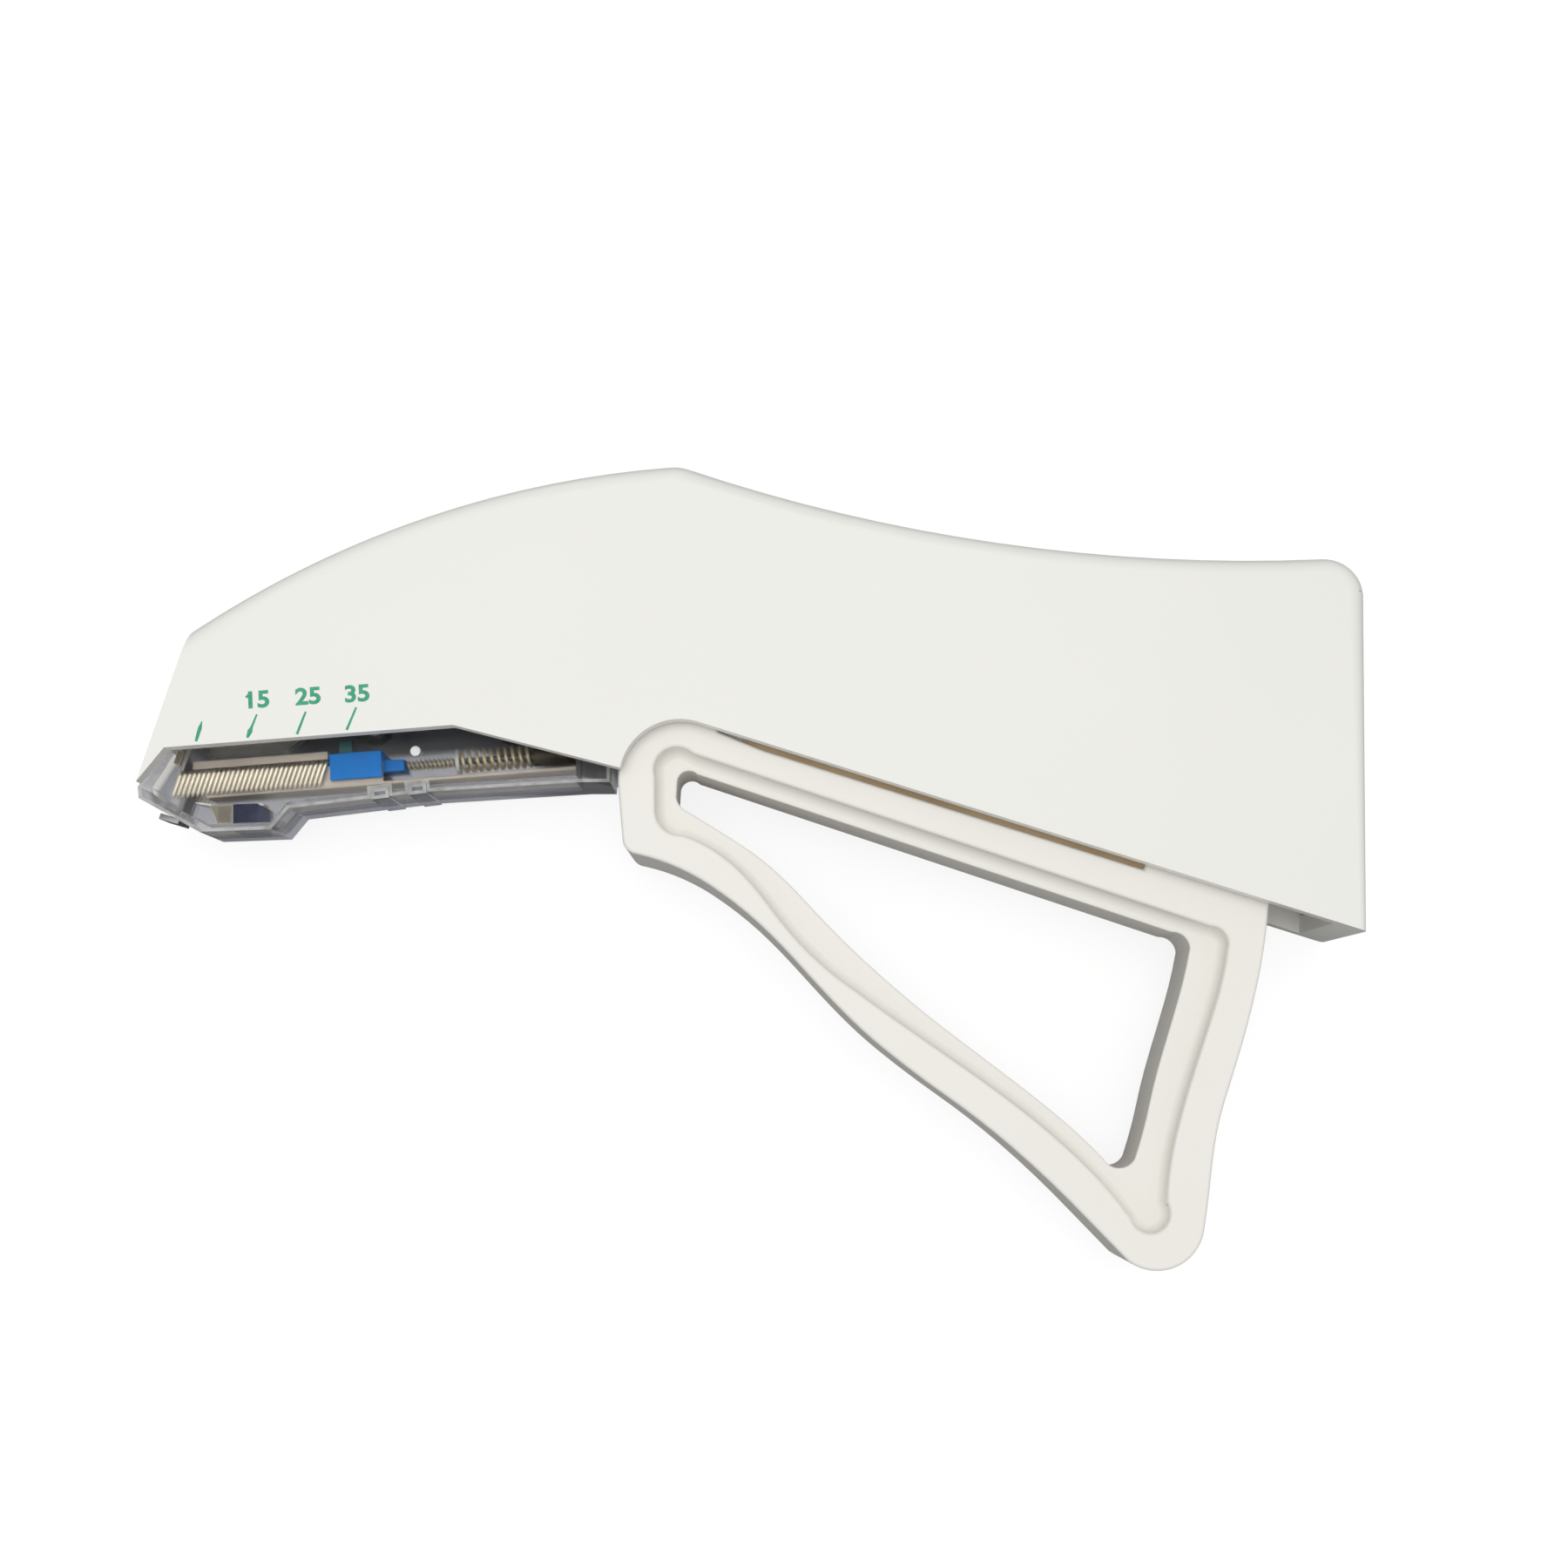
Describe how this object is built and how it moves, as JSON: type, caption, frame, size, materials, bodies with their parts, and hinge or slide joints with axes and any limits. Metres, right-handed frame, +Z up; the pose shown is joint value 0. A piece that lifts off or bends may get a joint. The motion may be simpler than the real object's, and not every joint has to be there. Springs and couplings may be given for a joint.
{
  "type": "skin stapler",
  "caption": "Disposable fixed-head skin stapler with a loop trigger, clear staple cartridge and count marks.",
  "frame": {"origin": "trigger pivot axis on the right face, the face that the stapler lies on", "axes": "+X from the nose to the heel of the handle, +Y from the trigger to the hump, +Z up from the right side to the left side"},
  "size_m": [0.1437, 0.0929, 0.019],
  "materials": {
    "housing_white": "fine satin moulded ABS",
    "trigger_white": "fine satin moulded ABS, slightly warmer",
    "clear": "clear moulded polycarbonate",
    "steel": "bright stamped stainless steel",
    "dark_steel": "dull stainless strip",
    "staple_wire": "polished drawn wire",
    "spring_wire": "bright drawn spring wire",
    "blue": "smooth moulded",
    "teal": "smooth moulded",
    "navy": "smooth moulded",
    "cream": "moulded acetal",
    "dark_plug": "smooth moulded",
    "white_trim": "smooth moulded"
  },
  "bodies": {
    "stapler": {"housing_right": "housing_white", "housing_left": "housing_white", "trigger_pin": "steel", "rocker_pin": "steel", "trigger_spring": "spring_wire", "staple_stack": "staple_wire", "cartridge_right": "clear", "cartridge_left": "clear", "staple_rail": "steel", "anvil": "steel", "track_cover": "dark_steel", "pusher_spring": "spring_wire", "spring_rod": "steel", "spring_seat": "dark_plug", "foot_pad": "cream", "foot_block": "navy", "ejector_spring": "steel", "nose_guide": "cream", "lock_pin": "white_trim"},
    "trigger": {"trigger": "trigger_white", "drive_pin": "steel"},
    "rocker": {"rocker": "steel", "former_pin": "steel"},
    "former": {"former_bracket": "steel", "former_blade": "steel", "first_staple": "staple_wire"},
    "slide": {"staple_pusher": "blue", "count_flag": "teal", "closed_coil": "spring_wire", "spring_washer": "white_trim"}
  },
  "joints": [
    {"name": "trigger_squeeze", "type": "hinge", "parent": "stapler", "child": "trigger", "pos_m": [0, 0, 0.0095], "axis": [0, 0, 1], "range_deg": [0, 12.5], "stiffness_Nm_per_rad": 0.5, "springref_deg": -20.05, "deforming": ["trigger_spring"]},
    {"name": "rocker_tilt", "type": "hinge", "parent": "stapler", "child": "rocker", "pos_m": [-0.008, 0.0135, 0.0095], "axis": [0, 0, 1], "range_deg": [0, 8.2]},
    {"name": "former_drive", "type": "slide", "parent": "stapler", "child": "former", "axis": [-0.2834, -0.959, 0], "range_m": [0, 0.00484]},
    {"name": "staple_feed", "type": "slide", "parent": "stapler", "child": "slide", "axis": [0.9968, 0.0795, 0], "range_m": [0, 0.003], "stiffness_N_per_m": 60, "springref_m": -0.01, "deforming": ["pusher_spring"]}
  ],
  "couplings": [
    {"joint": "rocker_tilt", "follows": "trigger_squeeze", "ratio": 0.65},
    {"joint": "former_drive", "follows": "trigger_squeeze", "m_per_rad": 0.022106}
  ]
}
